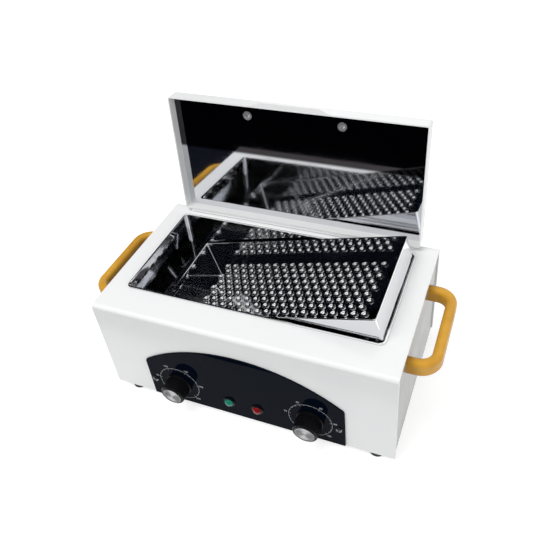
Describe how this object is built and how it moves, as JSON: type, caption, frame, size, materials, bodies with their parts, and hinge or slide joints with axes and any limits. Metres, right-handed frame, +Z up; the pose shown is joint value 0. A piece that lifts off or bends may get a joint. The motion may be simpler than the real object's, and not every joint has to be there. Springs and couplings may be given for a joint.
{
  "type": "dry heat sterilizer",
  "caption": "Bench-top dry heat sterilizer: white steel case with an arched dial panel, amber side handles, a polished chamber, a hinged lid and a perforated tray.",
  "frame": {"origin": "centre of the whole object's box in x and y, at the underside of the feet", "axes": "+X from the left handle to the right handle, +Y from the control panel to the back, +Z up"},
  "size_m": [0.3556, 0.2042, 0.2624],
  "materials": {
    "white_enamel": "baked gloss enamel",
    "grey_enamel": "baked satin enamel",
    "panel_blue": "satin printed enamel",
    "polished_steel": "mirror polished stainless sheet",
    "screw_steel": "zinc plated",
    "spun_aluminium": "spun face",
    "black_plastic": "moulded satin",
    "amber_plastic": "moulded gloss",
    "green_lens": "clear tinted lens",
    "red_lens": "clear tinted lens",
    "foot_rubber": "matte",
    "fibre_blanket": "needled fibre",
    "heater_mica": "mica sheet",
    "copper_tube": "drawn",
    "control_moulding": "moulded"
  },
  "bodies": {
    "case": {"case_shell": "white_enamel", "side_panel_left": "grey_enamel", "side_panel_right": "grey_enamel", "base_plate": "white_enamel", "case_screws": "screw_steel", "control_panel": "panel_blue", "panel_screws": "screw_steel", "chamber": "polished_steel", "chamber_insulation": "fibre_blanket", "heating_element": "heater_mica", "thermal_fuse": "screw_steel", "thermostat_body": "control_moulding", "thermostat_bulb": "copper_tube", "timer_body": "control_moulding", "lamp_green": "green_lens", "lamp_red": "red_lens", "lamp_bezels": "black_plastic", "lamp_bodies": "black_plastic", "terminal_block": "control_moulding", "power_inlet": "black_plastic", "inlet_screws": "screw_steel", "feet": "foot_rubber", "foot_screws": "screw_steel", "handle_left": "amber_plastic", "handle_right": "amber_plastic", "handle_screws": "screw_steel", "hinge_case_leaf": "white_enamel", "hinge_pin": "screw_steel", "hinge_rivets": "white_enamel"},
    "thermostat_dial": {"knob_thermostat": "black_plastic", "knob_thermostat_cap": "spun_aluminium", "thermostat_shaft": "screw_steel"},
    "timer_dial": {"knob_timer": "black_plastic", "knob_timer_cap": "spun_aluminium", "timer_shaft": "screw_steel"},
    "lid": {"lid_shell": "white_enamel", "lid_liner": "polished_steel", "lid_insulation": "fibre_blanket", "liner_screws": "screw_steel", "hinge_lid_leaf": "white_enamel"},
    "tray": {"tray_floor": "polished_steel", "tray_walls": "polished_steel"}
  },
  "joints": [
    {"name": "lid_hinge", "type": "hinge", "parent": "case", "child": "lid", "pos_m": [0, 0.08037, 0.1242], "axis": [1, 0, 0], "range_deg": [0, 93.8]},
    {"name": "tray_swing", "type": "hinge", "parent": "case", "child": "tray", "pos_m": [-0.10947, 0.01037, 0.12988], "axis": [0, 1, 0], "range_deg": [0, 14.73]},
    {"name": "thermostat_turn", "type": "hinge", "parent": "case", "child": "thermostat_dial", "pos_m": [-0.0695, -0.08363, 0.036], "axis": [0, 1, 0], "range_deg": [0, 300]},
    {"name": "timer_turn", "type": "hinge", "parent": "case", "child": "timer_dial", "pos_m": [0.0695, -0.08363, 0.036], "axis": [0, 1, 0], "range_deg": [0, 330]}
  ],
  "couplings": [
    {"joint": "tray_swing", "follows": "lid_hinge", "ratio": 0.157}
  ]
}
